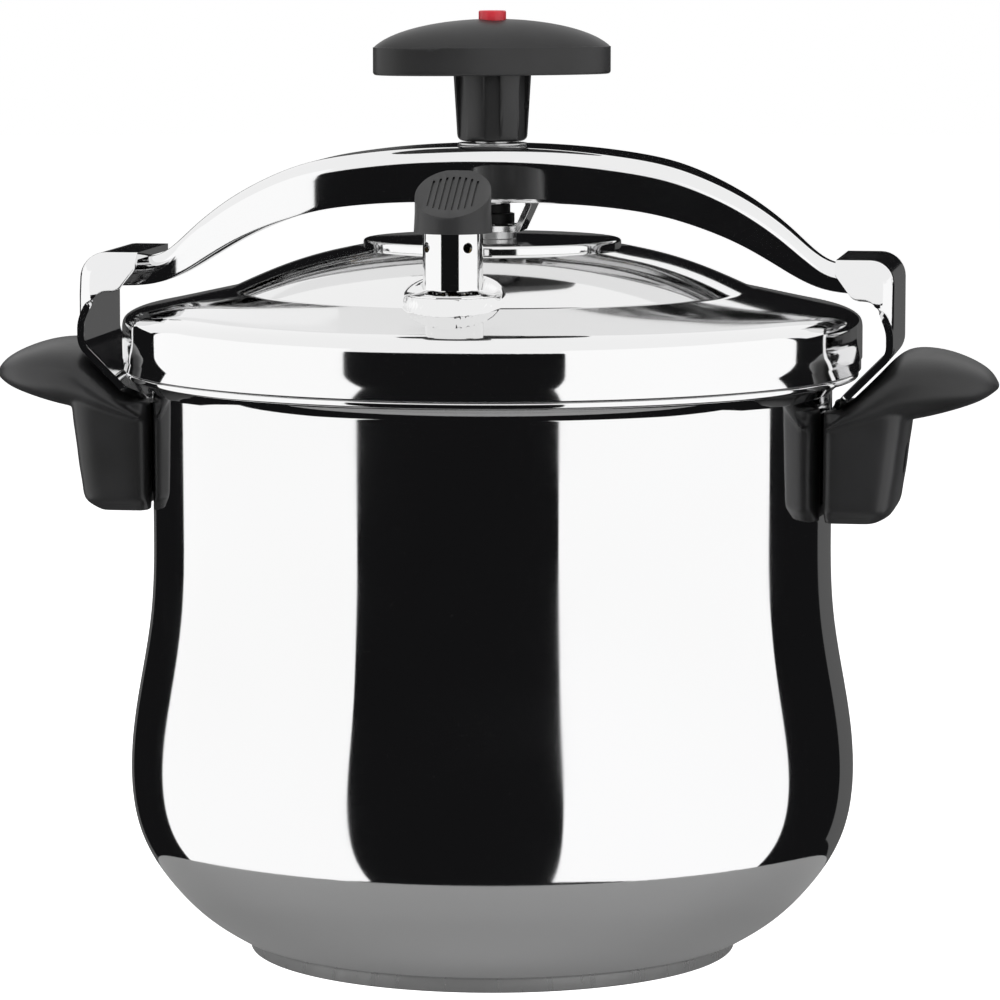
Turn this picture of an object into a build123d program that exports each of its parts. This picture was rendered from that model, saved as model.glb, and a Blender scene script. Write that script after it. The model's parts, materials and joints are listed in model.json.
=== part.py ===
from build123d import *
import os
from math import copysign, cos, radians, sin

# Stovetop pressure cooker with a clamping bow. Millimetres, +Z up. The origin is the centre of the
# flat underside. X runs along the bow and through both side handles, and the working valve is on -Y.

# ---- driving dimensions: pot ----
WALL = 1.2                      # pot and lid sheet
NECK_R = 112.0                  # outside radius under the rim
RIM_R = 120.6                   # outside radius of the turned-out rim
RIM_TOP = 193.0
RIM_UNDER = 190.6
FLOOR_TOP = 6.0                 # inside floor of the pot
BASE_R = 80.6                   # flat base that meets the hob
CAP_THICK = 0.8
CORE_TOP = 4.7
# outside of the belly, from under the rim down to the base: (radius, height)
BELLY = [(112.0, 186.0), (111.9, 145.0), (113.1, 111.0), (118.2, 80.0), (119.8, 58.0),
         (116.6, 39.5), (106.4, 22.8), (96.0, 12.6), (84.5, 5.2)]

# ---- driving dimensions: lid ----
SKIRT_R = 121.8
SKIRT_BOTTOM = 193.4
LID_RING = [(SKIRT_R, 207.2), (121.2, 209.6), (119.2, 211.3), (113.0, 213.2), (100.0, 216.0),
            (86.2, 219.0)]      # the outer ring of the lid, outside surface
LID_DOME = [(86.2, 219.0), (71.0, 225.6), (56.0, 230.4), (46.0, 232.6)]
CROWN_Z = 232.6                 # flat middle of the lid shell
DISC_R = 42.4
DISC_TOP = 235.5
GASKET_IN = 108.5
GASKET_OUT = 120.4
GASKET_TOP = 204.0
FEED_R = 6.4                    # hole in the crown under the clamping screw

# ---- driving dimensions: side hooks and handles ----
SHEET = 2.3                     # hook sheet
HOOK_HALF = 26.0                # half width of a hook, along Y
TAB_HALF = 14.0                 # half width of the tab behind the handle
HOOK_IN = 131.8                 # inner face of the upright leg
TAB_X = 112.6
LIP_UNDER = 228.5
LIP_TIP = 115.0
HOOD_BOTTOM = 218.0
STUD_Z = 165.0
HANDLE_TIP = 167.0
HANDLE_TOP = 201.0
HANDLE_BOTTOM = 145.5
HANDLE_HALF = 27.0
WING_HALF = 30.0

# ---- driving dimensions: bow and clamping screw ----
BOW_WIDE = 22.0                 # half width across the crown
BOW_NARROW = 7.6                # half width at the ends
BOW_TAPER = [(14.0, BOW_WIDE), (38.0, 21.9), (52.0, 20.4), (66.0, 17.4), (82.0, 13.6), (98.0, 9.9),
             (108.0, 8.1), (116.0, BOW_NARROW)]     # half width along the bow
BOW_ROUND = 5.0                 # pressed corner along both upper edges
BOW_SHEET = 2.2
BOW_END = 126.2
BOW_TOP = [(0.0, 266.2), (26.0, 265.3), (45.0, 263.2), (60.0, 260.2), (73.3, 255.2), (87.0, 247.8),
           (100.4, 237.6), (107.0, 231.9), (112.5, 228.9), (117.0, 228.2), (BOW_END, 228.2)]
BOW_LOW = [(0.0, 248.4), (26.0, 248.2), (45.0, 246.7), (58.0, 244.4), (70.8, 240.4), (83.6, 234.8),
           (96.3, 227.3), (102.8, 223.4), (109.2, 220.6), (117.0, 219.2), (BOW_END, 219.0)]
SCREW_R = 6.0
RUNNING = 0.05                  # running fit, on the radius
CAGE_FLOOR = 240.0              # top of the cage's bottom plate
CAGE_TOP = 251.0
BUSH_BOTTOM = 254.6
BUSH_TOP = 263.7                # shoulder under the bow's sheet
NECK_TOP = 266.9
BUSH_NECK_R = 9.0

# ---- driving dimensions: knob and pressure indicator ----
COLUMN_BOTTOM = 267.5
BAR_BOTTOM = 289.2
BAR_EDGE = 298.2                # top of the upright side of the bar
BAR_TOP = 307.3
BAR_HALF = 40.0                # half length of the bar
BAR_WIDE = 17.0                 # half width of the bar in the middle
BAR_SQUARE = 2.3                # exponent of the outline: 2 is an ellipse, more is squarer
BAR_TURN = 25.0                 # how far the bar stands turned from the bow, degrees
COLUMN_TOP_R = 12.8
COLUMN_LOW_R = 11.4
FLUTES = 6
BUTTON_R = 4.5
BUTTON_TOP = 310.0
ROD_R = 1.9

# ---- driving dimensions: valves ----
VALVE_Y = -79.0                 # working valve
SAFETY_Y = 79.0                 # safety valve
SEAT_Z = 222.4                  # pressed flat seats for both valves
SEAT_R = 14.3
SLEEVE_R = 9.5
SLEEVE_BOTTOM = 224.6
SLEEVE_TOP = 246.0
CAP_R = 12.0
CAP_BOTTOM = 242.4
CAP_TOP = 261.2
VENT_Z = 238.0
VENT_R = 1.65
STEM_R = 2.0


def rod(radius, low, high, x=0.0, y=0.0):
    """An upright cylinder between two heights."""
    return Pos(x, y, low) * Cylinder(radius, high - low, align=(Align.CENTER, Align.CENTER, Align.MIN))


def ring(outer, inner, low, high, x=0.0, y=0.0):
    """An upright tube between two heights."""
    return rod(outer, low, high, x, y) - rod(inner, low - 1, high + 1, x, y)


def cone(low_r, high_r, low, high, x=0.0, y=0.0):
    """An upright cone frustum between two heights."""
    shape = Cone(low_r, high_r, high - low, align=(Align.CENTER, Align.CENTER, Align.MIN))
    return Pos(x, y, low) * shape


def bar_x(radius, start, end, z, y=0.0):
    """A cylinder lying along X between two stations."""
    length = abs(end - start)
    return Pos((start + end) / 2, y, z) * Rot(0, 90, 0) * Cylinder(radius, length)


def spun(edges):
    """A solid of revolution about Z from a closed outline drawn in the XZ plane."""
    return revolve(Plane.XZ * make_face(edges), Axis.Z)


def mirrored(shape):
    """The same piece on the other side of the cooker."""
    return mirror(shape, Plane.YZ)


def hexagon(across, low, high, x=0.0, y=0.0):
    """A hexagonal bar standing up between two heights."""
    sketch = RegularPolygon(across / 2, 6, major_radius=False)
    return Pos(x, y, low) * extrude(sketch, high - low)


# ---- pot ----

def belly_solid(points, inset, low):
    """The pot's outside shape, drawn in by an inset and closed at a floor height."""
    line = [(r - inset, z) for r, z in points if z > low + 0.01]
    foot = (line[-1][0] - 11.5, low)
    wall = Spline(*line, foot) if inset else Spline(*line)
    top = points[0][1]
    start = wall @ 0
    end = wall @ 1
    outline = [wall, Line((0, top), (start.X, start.Y)), Line((end.X, end.Y), (0, end.Y)),
               Line((0, end.Y), (0, top))]
    return spun(outline)


def make_pot_body():
    outside = belly_solid(BELLY, 0.0, 0.0)
    inside = belly_solid(BELLY, WALL, FLOOR_TOP)
    flare = cone(NECK_R, NECK_R + 4.6, 186.0, RIM_UNDER)
    rim = rod(RIM_R, RIM_UNDER, RIM_TOP)
    rim = fillet(rim.edges().filter_by(GeomType.CIRCLE), 0.9)
    mouth = rod(NECK_R - WALL, 185.9, RIM_TOP + 1)
    return outside + flare + rim - inside - mouth


def make_base_core():
    return rod(BASE_R - 1.2, CAP_THICK, CORE_TOP)


def make_base_cap():
    pan = rod(BASE_R, 0.0, CORE_TOP)
    pan = fillet(pan.edges().group_by(Axis.Z)[0], 0.6)
    return pan - rod(BASE_R - 1.1, CAP_THICK, CORE_TOP + 1)


# ---- side hooks: one bent strip each, with a hood over the front of the lip ----

def make_right_hook():
    half = SHEET / 2
    path = FilletPolyline((TAB_X + half, 0, 150.0), (TAB_X + half, 0, 181.4),
                          (HOOK_IN + half, 0, 200.6), (HOOK_IN + half, 0, LIP_UNDER + half),
                          (LIP_TIP, 0, LIP_UNDER + half), radius=7.0)
    section = Plane.XY.offset(150.0) * Pos(TAB_X + half, 0) * Rectangle(SHEET, 2 * HOOK_HALF)
    strip = sweep(section, path)
    for side in (-1, 1):
        strip -= Pos(TAB_X, side * (TAB_HALF + 20), 162.0) * Box(14, 40, 43)
    hood_outline = Polyline((LIP_TIP, LIP_UNDER + SHEET), (HOOK_IN - 5, LIP_UNDER + SHEET),
                            (HOOK_IN + 1.2, LIP_UNDER - 4), (HOOK_IN + SHEET, HOOD_BOTTOM + 1),
                            (HOOK_IN + SHEET, 212.4), (HOOK_IN - 1, HOOD_BOTTOM),
                            (LIP_TIP + 7.4, HOOD_BOTTOM), (LIP_TIP + 4.6, 220.6), close=True)
    hood = extrude(Plane.XZ.offset(HOOK_HALF - SHEET) * make_face(hood_outline), SHEET)
    hook = strip + hood
    front_top = hook.edges().filter_by(Axis.X).group_by(Axis.Z)[-1].sort_by(Axis.Y)[0]
    hook = fillet(front_top, 2.0)
    return hook - bar_x(4.1, TAB_X - 5, TAB_X + 8, STUD_Z)


# ---- bakelite side handles ----

def skirt_corner(edge):
    """True for the long corners that run down the skirt's outer face."""
    middle = edge.center()
    return abs(middle.Y) > HANDLE_HALF - 1 and edge.length > 10 and 133.0 < middle.X < 140.0


def make_right_handle():
    wing_side = Polyline((112.5, 177.3), (131.0, 195.5), (136.5, HANDLE_TOP), (147.0, 200.4),
                         (158.0, 197.4), (165.0, 192.4), (HANDLE_TIP, 188.6), (165.0, 185.2),
                         (156.0, 182.0), (137.0, 177.6), (112.5, 176.0), close=True)
    wing = extrude(Plane.XZ.offset(-WING_HALF) * make_face(wing_side), 2 * WING_HALF)
    plan = Pos(125.0, 0) * Ellipse(HANDLE_TIP - 125.0, WING_HALF)
    plan += Pos(118.0, 0) * Rectangle(16, 2 * WING_HALF)
    wing = wing & Pos(0, 0, 170) * extrude(plan, 40)
    skirt_side = Polyline((108.0, 179.0), (138.4, 179.0), (136.6, 165.0), (134.6, 152.0),
                          (129.0, HANDLE_BOTTOM + 0.6), (120.0, HANDLE_BOTTOM), (108.0, 148.0),
                          close=True)
    skirt = extrude(Plane.XZ.offset(-HANDLE_HALF) * make_face(skirt_side), 2 * HANDLE_HALF)
    outer = [edge for edge in skirt.edges() if skirt_corner(edge)]
    skirt = fillet(outer, 6.0)
    handle = wing + skirt
    handle -= rod(NECK_R + 0.5, 140.0, 210.0)
    handle -= Pos(TAB_X - 4, 0, 140.0) * Box(2 * (SHEET + 4.3), 2 * TAB_HALF + 1, 110.0)
    handle -= bar_x(4.2, 110.0, 124.2, STUD_Z)
    handle -= bar_x(2.7, 120.0, 140.0, STUD_Z)
    handle -= bar_x(5.2, 129.4, 145.0, STUD_Z)
    return handle


def make_handle_studs():
    stud = bar_x(4.0, NECK_R + 0.2, 124.0, STUD_Z) - bar_x(2.5, 117.0, 125.0, STUD_Z)
    return [stud, mirrored(stud)]


def make_handle_screws():
    shank = bar_x(2.4, 118.0, 130.2, STUD_Z)
    head = bar_x(4.6, 130.2, 133.2, STUD_Z)
    head = fillet(head.edges().group_by(Axis.X)[-1], 0.8)
    slot = Pos(133.2, 0, STUD_Z) * Box(2.0, 1.0, 12.0)
    screw = shank + head - slot
    return [screw, mirrored(screw)]


def make_handle_washers():
    washer = bar_x(5.0, 129.5, 130.1, STUD_Z) - bar_x(2.6, 129.0, 131.0, STUD_Z)
    return [washer, mirrored(washer)]


# ---- lid ----

def lid_solid(inset):
    """The lid's outside shape, or its inside shape when drawn in by the sheet thickness."""
    lowered = 0.94 * inset
    drawn_in = [inset, inset, 0.8 * inset, 0.3 * inset, 0.25 * inset, 0.0]
    dropped = [0.0, 0.3 * inset, 0.75 * inset, lowered, lowered, inset]
    ring_line = Spline(*[(r - a, z - b) for (r, z), a, b in zip(LID_RING, drawn_in, dropped)])
    dome_line = Spline(*[(r, z - inset) for r, z in LID_DOME])
    top = CROWN_Z - inset
    low = SKIRT_BOTTOM - (1.0 if inset else 0.0)
    corner = ring_line @ 0
    outline = [Line((0, low), (corner.X, low)), Line((corner.X, low), (corner.X, corner.Y)),
               ring_line, dome_line,
               Line(dome_line @ 1, (0, top)), Line((0, top), (0, low))]
    return spun(outline)


def valve_seat(y, solid, hollow):
    """A flat pressed seat in the sloping lid: a plate with a short wall up or down to the dome."""
    outer = SEAT_R + WALL
    plate = rod(outer, SEAT_Z - WALL, SEAT_Z, 0, y)
    wall_up = ring(outer, SEAT_R, SEAT_Z - WALL, SEAT_Z + 18, 0, y) & solid
    wall_down = ring(outer, SEAT_R, SEAT_Z - 10, SEAT_Z, 0, y) - hollow
    return plate + wall_up + wall_down


def make_lid_shell():
    solid = lid_solid(0.0)
    hollow = lid_solid(WALL)
    shell = solid - hollow
    for y, bore in ((VALVE_Y, 5.0), (SAFETY_Y, 5.6)):
        shell -= rod(SEAT_R, SEAT_Z - 16, SEAT_Z + 20, 0, y)
        shell += valve_seat(y, solid, hollow)
        shell -= rod(bore, SEAT_Z - 5, SEAT_Z + 5, 0, y)
    return shell - rod(FEED_R, CROWN_Z - 5, CROWN_Z + 5)


def make_lid_gasket():
    body = ring(GASKET_OUT, GASKET_IN, SKIRT_BOTTOM, GASKET_TOP)
    body = fillet(body.edges().filter_by(GeomType.CIRCLE), 1.2)
    return body - ring(GASKET_OUT - 4.0, GASKET_IN - 2.0, SKIRT_BOTTOM + 4.0, GASKET_TOP - 3.4)


def make_centre_disc():
    disc = rod(DISC_R, CROWN_Z + 0.05, DISC_TOP)
    disc = fillet(disc.edges().group_by(Axis.Z)[-1], 1.0)
    return disc - rod(FEED_R, CROWN_Z - 1, DISC_TOP + 1)


def make_cage_boss():
    return ring(8.0, 3.0, DISC_TOP, CAGE_FLOOR - 2.0)


def make_bow_cage():
    outer = Polyline((-10.2, CAGE_FLOOR - 2), (10.2, CAGE_FLOOR - 2), (14.2, 246.6), (14.2, CAGE_TOP),
                     (-14.2, CAGE_TOP), (-14.2, 246.6), close=True)
    inner = Polyline((-9.0, CAGE_FLOOR), (9.0, CAGE_FLOOR), (12.2, 247.0), (12.2, CAGE_TOP - 2),
                     (-12.2, CAGE_TOP - 2), (-12.2, 247.0), close=True)
    cage = extrude(Plane.XZ.offset(-9.0) * make_face(outer), 18.0)
    cage -= extrude(Plane.XZ.offset(-10.0) * make_face(inner), 20.0)
    cage -= rod(2.4, CAGE_FLOOR - 5, CAGE_FLOOR + 1)
    return cage - rod(SCREW_R + 0.5, CAGE_TOP - 4, CAGE_TOP + 2)


def make_cage_rivets():
    rivets = []
    for x in (-6.2, 6.2):
        rivets.append(rod(1.4, CAGE_FLOOR + 0.02, CAGE_FLOOR + 0.3, x))
    return rivets


# ---- working valve ----

def make_chimney_flange():
    y = VALVE_Y
    foot = rod(13.5, SEAT_Z, SEAT_Z + 0.4, 0, y) + cone(13.5, 8.5, SEAT_Z + 0.4, SEAT_Z + 1.6, 0, y)
    return foot - rod(5.0, SEAT_Z - 1, SEAT_Z + 3, 0, y)


def make_valve_chimney():
    y = VALVE_Y
    body = rod(4.9, 207.0, SEAT_Z + 1.6, 0, y) + rod(6.2, SEAT_Z + 1.6, SEAT_Z + 3.2, 0, y)
    body += cone(5.0, STEM_R, SEAT_Z + 3.2, SEAT_Z + 6.0, 0, y) + rod(STEM_R, SEAT_Z + 6.0, 235.6, 0, y)
    return body - rod(1.0, 200, 240, 0, y)


def make_chimney_seal():
    return ring(9.0, 5.0, SEAT_Z - WALL - 1.6, SEAT_Z - WALL, 0, VALVE_Y)


def make_chimney_nut():
    nut = hexagon(17.0, SEAT_Z - 7.4, SEAT_Z - WALL - 1.65, 0, VALVE_Y)
    return nut - rod(4.95, 200, 230, 0, VALVE_Y)


def make_steam_filter():
    cup = rod(7.2, 205.2, SEAT_Z - 7.6, 0, VALVE_Y) - rod(4.95, 206.4, 230, 0, VALVE_Y)
    for turn in range(6):
        angle = radians(60 * turn)
        cup -= rod(0.8, 200, 210, 3.4 * cos(angle), VALVE_Y + 3.4 * sin(angle))
    return cup


def make_valve_sleeve():
    sleeve = ring(SLEEVE_R, SLEEVE_R - 1.3, SLEEVE_BOTTOM, SLEEVE_TOP, 0, VALVE_Y)
    for quarter in range(2):
        hole = Cylinder(VENT_R, 3 * SLEEVE_R)
        sleeve -= Pos(0, VALVE_Y, VENT_Z) * Rot(0, 0, 90 * quarter - 51) * Rot(90, 0, 0) * hole
    return sleeve


def make_valve_weight():
    plug = rod(SLEEVE_R - 1.35, 240.4, SLEEVE_TOP, 0, VALVE_Y)
    return plug + cone(0.8, 3.0, 235.8, 240.4, 0, VALVE_Y)


def make_valve_cap():
    y = VALVE_Y
    cap = cone(CAP_R + 0.3, CAP_R, CAP_BOTTOM, CAP_BOTTOM + 6, 0, y)
    cap += rod(CAP_R, CAP_BOTTOM + 6, CAP_TOP, 0, y)
    slant = Pos(0, y, CAP_TOP - 6.6) * Rot(30, 0, 0)
    cap -= slant * Pos(0, 0, 15) * Box(40, 60, 30)
    for groove in range(8):
        x = -7.0 + 2.0 * groove
        length = 2.0 * (CAP_R ** 2 - x ** 2) ** 0.5 - 5.0
        cap -= slant * Pos(x, 0, 0) * Box(0.7, length, 1.2)
    return cap - rod(SLEEVE_R + RUNNING, CAP_BOTTOM - 1, SLEEVE_TOP + 0.3, 0, y)


# ---- safety valve ----

def make_safety_body():
    y = SAFETY_Y
    body = hexagon(18.0, SEAT_Z, SEAT_Z + 2.6, 0, y) + rod(7.0, SEAT_Z + 2.6, 231.0, 0, y)
    body += rod(5.5, 209.0, SEAT_Z, 0, y)
    body -= rod(4.4, 211.6, 240.0, 0, y)
    body -= rod(2.0, 200.0, 212.0, 0, y)
    for turn in range(4):
        vent = Rot(0, 90, 0) * Pos(0, 0, 6) * Cylinder(1.1, 6)
        body -= Pos(0, y, 226.6) * Rot(0, 0, 45 + 90 * turn) * vent
    return body


def make_safety_plug():
    return ring(4.35, 1.9, 228.2, 230.6, 0, SAFETY_Y)


def make_safety_pin():
    y = SAFETY_Y
    pin = cone(2.6, 3.9, 211.7, 213.0, 0, y) + rod(3.9, 213.0, 214.2, 0, y)
    return pin + rod(1.6, 214.2, 231.8, 0, y)


def make_safety_seal():
    return ring(9.5, 5.55, SEAT_Z - WALL - 1.6, SEAT_Z - WALL, 0, SAFETY_Y)


def make_safety_nut():
    nut = hexagon(17.0, SEAT_Z - 7.4, SEAT_Z - WALL - 1.65, 0, SAFETY_Y)
    return nut - rod(5.52, 200, 230, 0, SAFETY_Y)


def coil(radius, wire, low, high, turns, x=0.0, y=0.0):
    """A round-wire compression spring standing between two heights."""
    height = high - low - 2 * wire
    path = Helix(height / turns, height, radius)
    spring = sweep(Plane(path @ 0, z_dir=path % 0) * Circle(wire), path)
    return Pos(x, y, low + wire) * spring


def make_safety_spring():
    return coil(2.8, 0.4, 214.4, 228.0, 7, 0, SAFETY_Y)


# ---- bow ----

def bow_band(top_line, low_line):
    """The side view of the bow between its upper and lower edges."""
    both = [(-x, z) for x, z in reversed(top_line)] + top_line[1:]
    under = [(-x, z) for x, z in reversed(low_line)] + low_line[1:]
    upper = Spline(*both)
    lower = Spline(*under)
    return make_face([upper, lower, Line(upper @ 0, lower @ 0), Line(upper @ 1, lower @ 1)])


def bow_plan(inset):
    """The bow seen from above: full width over the crown, drawn in smoothly towards both ends."""
    wide = BOW_WIDE - inset
    narrow = BOW_NARROW - inset
    end = BOW_END + inset
    half_widths = [(x, half - inset) for x, half in BOW_TAPER]
    front = Spline(*[(x, -half) for x, half in half_widths], tangents=((1, 0), (1, 0)))
    edges = [front, Line(front @ 1, (end, -narrow)), Line((end, -narrow), (end, 0)),
             Line((end, 0), (0, 0)), Line((0, 0), (0, -wide)), Line((0, -wide), front @ 0)]
    quarter = make_face(edges)
    half_plan = quarter + mirror(quarter, Plane.XZ)
    return half_plan + mirror(half_plan, Plane.YZ)


def on_upper_corner(edge, top_line):
    """True for the long edges where a side face meets the upper face."""
    middle = edge @ 0.5
    if edge.length < 11.0 or abs(middle.Y) < BOW_NARROW - BOW_SHEET - 0.5:
        return False
    return any(abs(abs(middle.X) - x) < 12.0 and middle.Z > z - 7.0 for x, z in top_line)


def bow_solid(top_line, low_line, inset, rounding):
    """The bow's outside shape, or the channel inside it, with rounded upper corners."""
    band = extrude(Plane.XZ.offset(-BOW_WIDE - 1) * bow_band(top_line, low_line), 2 * BOW_WIDE + 2)
    solid = band & Pos(0, 0, 200) * extrude(bow_plan(inset), 80)
    upper = [edge for edge in solid.edges() if on_upper_corner(edge, top_line)]
    return fillet(upper, rounding)


def make_bow():
    outside = bow_solid(BOW_TOP, BOW_LOW, 0.0, BOW_ROUND)
    inner_top = [(x, z - BOW_SHEET) for x, z in BOW_TOP]
    inner_low = [(x, z - 6.0) for x, z in BOW_LOW]
    channel = bow_solid(inner_top, inner_low, BOW_SHEET, BOW_ROUND - BOW_SHEET)
    return outside - channel - rod(BUSH_NECK_R + 0.05, 250, 270)


def make_bow_bush():
    bush = rod(12.5, BUSH_BOTTOM, BUSH_TOP) + rod(BUSH_NECK_R, BUSH_TOP, NECK_TOP)
    return bush - rod(SCREW_R + RUNNING, 240, 280)


def make_bush_ring():
    return ring(11.4, BUSH_NECK_R + 0.05, BOW_TOP[0][1] + 0.05, NECK_TOP)


# ---- clamping screw, T-knob ----

def make_spindle():
    body = rod(4.5, CAGE_FLOOR + 0.7, 246.8) + rod(SCREW_R, 246.8, 291.8)
    return body - rod(ROD_R + 0.3, 230, 300)


def make_spindle_foot():
    foot = rod(7.3, CAGE_FLOOR + 0.4, 243.8) + rod(5.9, 243.8, 246.7)
    return foot - rod(4.55, 230, 250)


def bar_plan():
    """The bar seen from above: an ellipse drawn out a little towards its corners."""
    points = []
    for step in range(48):
        angle = radians(7.5 * step)
        reach = 2 / BAR_SQUARE
        x = BAR_HALF * copysign(abs(cos(angle)) ** reach, cos(angle))
        y = BAR_WIDE * copysign(abs(sin(angle)) ** reach, sin(angle))
        points.append((x, y))
    return make_face(Spline(*points, periodic=True))


def bar_dome():
    """A flattened ball that crowns the bar and meets the top edge of its upright side."""
    sunk = 4.0
    high = BAR_TOP - BAR_EDGE + sunk
    share = (1 - (sunk / high) ** 2) ** 0.5
    ball = scale(Sphere(1.0), by=(BAR_HALF / share, BAR_WIDE / share, high))
    return Pos(0, 0, BAR_EDGE - sunk) * ball


def make_t_knob():
    side = Pos(0, 0, BAR_BOTTOM) * extrude(bar_plan(), BAR_EDGE - BAR_BOTTOM)
    side = fillet(side.edges().group_by(Axis.Z)[0], 1.0)
    crown = Pos(0, 0, BAR_EDGE) * extrude(bar_plan(), BAR_TOP - BAR_EDGE + 1)
    bar = side + (crown & bar_dome())
    column = cone(COLUMN_LOW_R, COLUMN_TOP_R, COLUMN_BOTTOM, BAR_BOTTOM + 1)
    column = fillet(column.edges().group_by(Axis.Z)[0], 2.0)
    for turn in range(FLUTES):
        groove = Pos(COLUMN_TOP_R + 1.2, 0, BAR_BOTTOM - 12.7) * Box(6.4, 5.2, 25.4)
        column -= Rot(0, 0, 360 / FLUTES * turn - 90 - BAR_TURN + 9) * groove
    knob = bar + column
    knob -= rod(SCREW_R + RUNNING, 260, 292)
    knob -= rod(4.1, 291, 299)
    knob -= rod(BUTTON_R + 0.3, 298, 320)
    knob = Rot(0, 0, BAR_TURN) * knob
    return knob - bar_x(2.05, -14, 14, 279.0)


def make_knob_set_screws():
    screw = bar_x(2.0, SCREW_R + 0.05, 9.6, 279.0)
    screw -= Pos(9.6, 0, 279.0) * Box(2.0, 0.8, 8.0)
    return [screw, mirrored(screw)]


# ---- pressure indicator ----

def make_indicator_button():
    button = rod(BUTTON_R, 301.4, BUTTON_TOP)
    button = fillet(button.edges().group_by(Axis.Z)[-1], 0.5)
    return button - rod(ROD_R + 0.02, 300, 306)


def make_indicator_rod():
    shaft = rod(ROD_R, 223.7, 305.9)
    return shaft + rod(3.4, 222.4, 223.7)


def make_indicator_diaphragm():
    cup = rod(11.0, 227.6, CROWN_Z - WALL - 0.05) - rod(5.6, 228.0, 240.0)
    cup -= rod(9.0, 229.6, 230.2) - rod(7.0, 229.0, 231.0)
    return cup - rod(ROD_R + 0.2, 226, 240)


def make_indicator_spring():
    return coil(3.3, 0.35, 292.1, 301.3, 5)


PARTS = {
    "pot_body": make_pot_body, "base_core": make_base_core, "base_cap": make_base_cap,
    "right_hook": make_right_hook, "right_handle": make_right_handle,
    "handle_studs": make_handle_studs, "handle_screws": make_handle_screws,
    "handle_washers": make_handle_washers,
    "lid_shell": make_lid_shell, "lid_gasket": make_lid_gasket, "centre_disc": make_centre_disc,
    "cage_boss": make_cage_boss, "bow_cage": make_bow_cage, "cage_rivets": make_cage_rivets,
    "chimney_flange": make_chimney_flange, "valve_chimney": make_valve_chimney,
    "chimney_seal": make_chimney_seal, "chimney_nut": make_chimney_nut,
    "steam_filter": make_steam_filter, "valve_sleeve": make_valve_sleeve,
    "valve_weight": make_valve_weight, "valve_cap": make_valve_cap,
    "safety_body": make_safety_body, "safety_plug": make_safety_plug, "safety_pin": make_safety_pin,
    "safety_seal": make_safety_seal, "safety_nut": make_safety_nut, "safety_spring": make_safety_spring,
    "bow": make_bow, "bow_bush": make_bow_bush, "bush_ring": make_bush_ring,
    "spindle": make_spindle, "spindle_foot": make_spindle_foot, "t_knob": make_t_knob,
    "knob_set_screws": make_knob_set_screws, "indicator_button": make_indicator_button,
    "indicator_rod": make_indicator_rod, "indicator_diaphragm": make_indicator_diaphragm,
    "indicator_spring": make_indicator_spring,
}

os.makedirs("parts", exist_ok=True)
for name, make in PARTS.items():
    shape = make()
    if isinstance(shape, list):
        shape = Compound(children=shape)
    export_step(shape, f"parts/{name}.step")
    if name.startswith("right_"):
        export_step(mirrored(shape), f"parts/{name.replace('right_', 'left_')}.step")
    print(name, round(shape.volume, 1), len(shape.solids()))
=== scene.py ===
# %% [markdown]
# # A stovetop pressure cooker with a clamping bow
# The cooker is a bellied pot, a domed lid and a bow that grips two side hooks while a T-knob screw
# pushes the lid down. The frame holds every piece at its real size. This lesson keeps the frame's small
# turned pieces and remakes the large polished ones as fine surfaces, because a mirror finish shows every
# facet of a coarse mesh.

# %% Load the frame
import json
from math import cos, pi, radians, sin

import bmesh
import bpy
import numpy as np
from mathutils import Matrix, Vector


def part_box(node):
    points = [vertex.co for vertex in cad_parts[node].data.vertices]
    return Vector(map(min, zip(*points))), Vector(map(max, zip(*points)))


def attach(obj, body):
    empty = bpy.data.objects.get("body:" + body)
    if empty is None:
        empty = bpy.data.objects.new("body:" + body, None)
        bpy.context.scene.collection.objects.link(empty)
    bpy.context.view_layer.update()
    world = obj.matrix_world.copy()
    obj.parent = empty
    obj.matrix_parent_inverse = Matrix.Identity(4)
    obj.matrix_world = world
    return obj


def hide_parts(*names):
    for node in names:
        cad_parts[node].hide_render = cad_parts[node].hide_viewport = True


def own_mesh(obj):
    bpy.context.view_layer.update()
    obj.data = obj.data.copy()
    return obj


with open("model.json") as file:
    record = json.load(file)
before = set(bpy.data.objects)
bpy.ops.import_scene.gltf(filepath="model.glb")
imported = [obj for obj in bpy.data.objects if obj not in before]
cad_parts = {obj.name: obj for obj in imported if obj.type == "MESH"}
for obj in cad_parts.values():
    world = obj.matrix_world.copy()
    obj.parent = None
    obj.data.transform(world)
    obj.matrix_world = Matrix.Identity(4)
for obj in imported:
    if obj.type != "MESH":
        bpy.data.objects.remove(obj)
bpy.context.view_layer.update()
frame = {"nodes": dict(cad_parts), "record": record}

MM = 0.001

# %% [markdown]
# ## Sizes that the frame gives
# Each surface below is drawn from a few heights and radii. Those that a piece shares with its
# neighbours are read from the frame's boxes, so the new pieces land where the old ones were.

# %% Read the shared sizes, in millimetres
def low(node, axis):
    """The lowest coordinate of a frame piece along an axis, in millimetres."""
    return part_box(node)[0][axis] / MM


def high(node, axis):
    """The highest coordinate of a frame piece along an axis, in millimetres."""
    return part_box(node)[1][axis] / MM


X, Y, Z = 0, 1, 2
RIM_TOP = high("pot_body", Z)
RIM_R = high("pot_body", X)
BASE_R = high("base_cap", X)
SKIRT_R = high("lid_shell", X) - 0.05
DISC_R = high("centre_disc", X)
DISC_TOP = high("centre_disc", Z)
VALVE_Y = (low("valve_sleeve", Y) + high("valve_sleeve", Y)) / 2
SAFETY_Y = (low("safety_plug", Y) + high("safety_plug", Y)) / 2
SEAT_Z = low("chimney_flange", Z)
print("rim", round(RIM_R, 1), "at", round(RIM_TOP, 1), "lid skirt", round(SKIRT_R, 1), "valve at", VALVE_Y)

# %% [markdown]
# ## Tools for making a surface
# A piece is one or more grids of points. Neighbouring points become quads, points that coincide are
# welded, and the faces are turned outwards. All the points come from whole-array sums, with no loop
# over vertices.

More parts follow.
